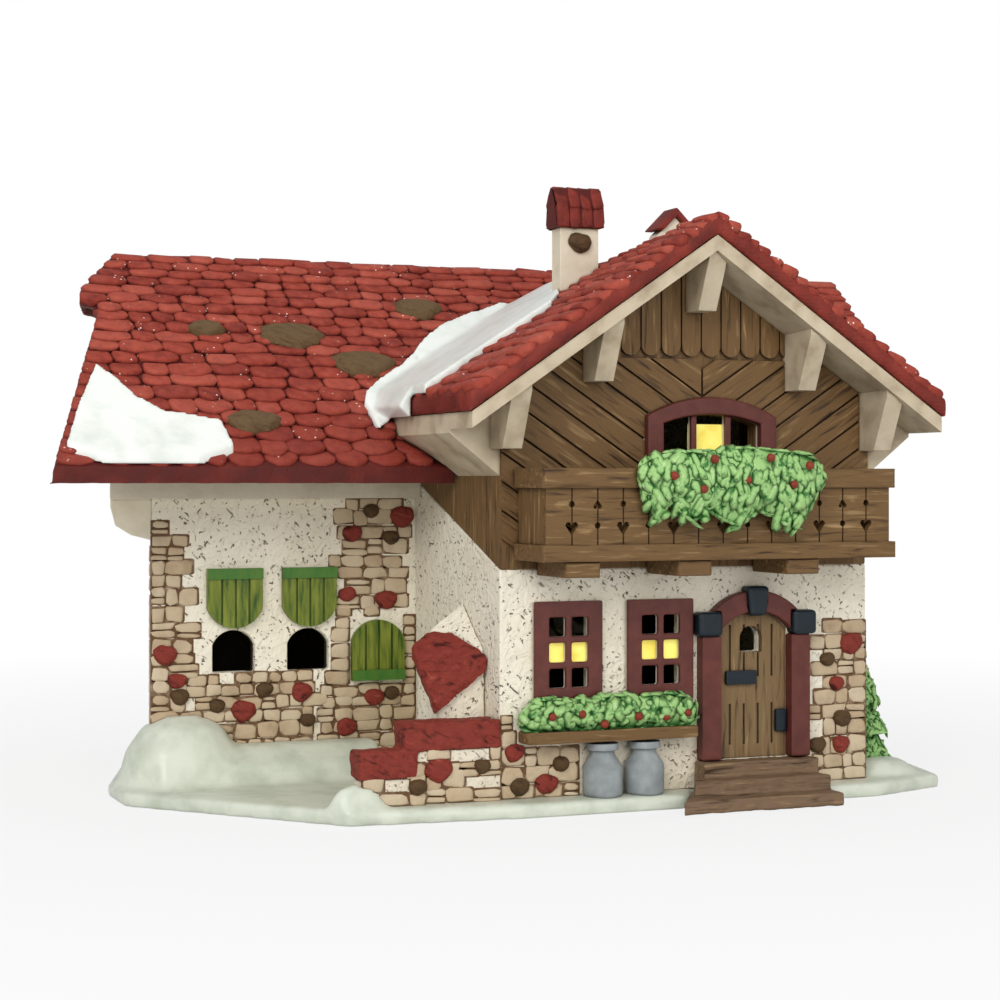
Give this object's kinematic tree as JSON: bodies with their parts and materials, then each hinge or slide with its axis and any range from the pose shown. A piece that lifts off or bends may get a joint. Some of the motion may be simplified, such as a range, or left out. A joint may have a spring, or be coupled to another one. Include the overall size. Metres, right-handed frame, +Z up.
{
  "type": "ceramic christmas village house",
  "caption": "Lit porcelain village house: stucco and stone barn wing with a half-hipped red shingle roof, timber-gabled front wing with a balcony, and a clip-in lamp.",
  "frame": {"origin": "middle of the overall box, on the underside of the snow base", "axes": "+X along the barn wing towards its right end as seen from the front, +Y towards the back, +Z up"},
  "size_m": [0.2226, 0.1656, 0.1386],
  "materials": {
    "stucco": "matt painted bisque, warm white with brown wash",
    "white_trim": "matt painted bisque",
    "snow": "white glaze",
    "timber": "matt brown paint, dry-brushed",
    "roof_red": "matt red paint with darker joints",
    "roof_stone": "matt brown paint",
    "foliage": "green paint, rubbed lighter on top",
    "berry": "red-brown paint",
    "maroon": "satin maroon paint",
    "yellow_pane": "thin translucent yellow film",
    "iron_blue": "blue-black satin paint",
    "can_grey": "grey satin paint",
    "green_paint": "green paint with darker grooves",
    "red_stone": "matt red paint",
    "brown_stone": "matt brown paint",
    "lamp_white": "moulded",
    "spring_steel": "bright",
    "cap_brass": "plain",
    "bulb_clear": "clear"
  },
  "bodies": {
    "house": {"barn_front_wall": "stucco", "barn_back_wall": "stucco", "barn_left_wall": "stucco", "barn_right_wall": "stucco", "house_walls": "stucco", "barn_cornice": "stucco", "lean_to": "stucco", "low_wall": "stucco", "chimney_stack": "stucco", "rear_chimney_stack": "stucco", "gable_soffit": "white_trim", "roof_brackets": "white_trim", "snow_base": "snow", "snow_drifts": "snow", "barn_roof_snow": "snow", "valley_snow": "snow", "timber_storey": "timber", "chevron_planks": "timber", "gable_boards": "timber", "balcony_floor": "timber", "balcony_front_panel": "timber", "balcony_side_panels": "timber", "balcony_top_rail": "timber", "balcony_bottom_rail": "timber", "balcony_beams": "timber", "door_leaf": "timber", "door_steps": "timber", "flower_box_board": "timber", "barn_roof": "roof_red", "house_roof": "roof_red", "chimney_cap": "roof_red", "rear_chimney_cap": "roof_red", "lean_to_cap": "roof_red", "low_wall_coping": "roof_red", "roof_stones": "roof_stone", "garland": "foliage", "flower_box_greenery": "foliage", "evergreen_tree": "foliage", "garland_berries": "berry", "flower_box_berries": "berry", "upper_window_frame": "maroon", "left_window_frame": "maroon", "right_window_frame": "maroon", "door_surround": "maroon", "lit_panes": "yellow_pane", "door_blocks": "iron_blue", "door_handle": "iron_blue", "door_hinge": "iron_blue", "left_milk_can": "can_grey", "right_milk_can": "can_grey", "left_shutter": "green_paint", "middle_shutter": "green_paint", "barn_hatch": "green_paint", "red_stones": "red_stone", "brown_stones": "brown_stone"},
    "lamp": {"lamp_holder": "lamp_white", "lamp_clip": "spring_steel"},
    "bulb": {"bulb_cap": "cap_brass", "bulb_glass": "bulb_clear"}
  },
  "joints": [
    {"name": "lamp_pull", "type": "slide", "parent": "house", "child": "lamp", "axis": [0, 1, 0], "range_m": [0, 0.075]},
    {"name": "bulb_turn", "type": "hinge", "parent": "lamp", "child": "bulb", "pos_m": [0.02468, 0.0308, 0.0392], "axis": [0, 1, 0], "range_deg": [0, 720]}
  ]
}
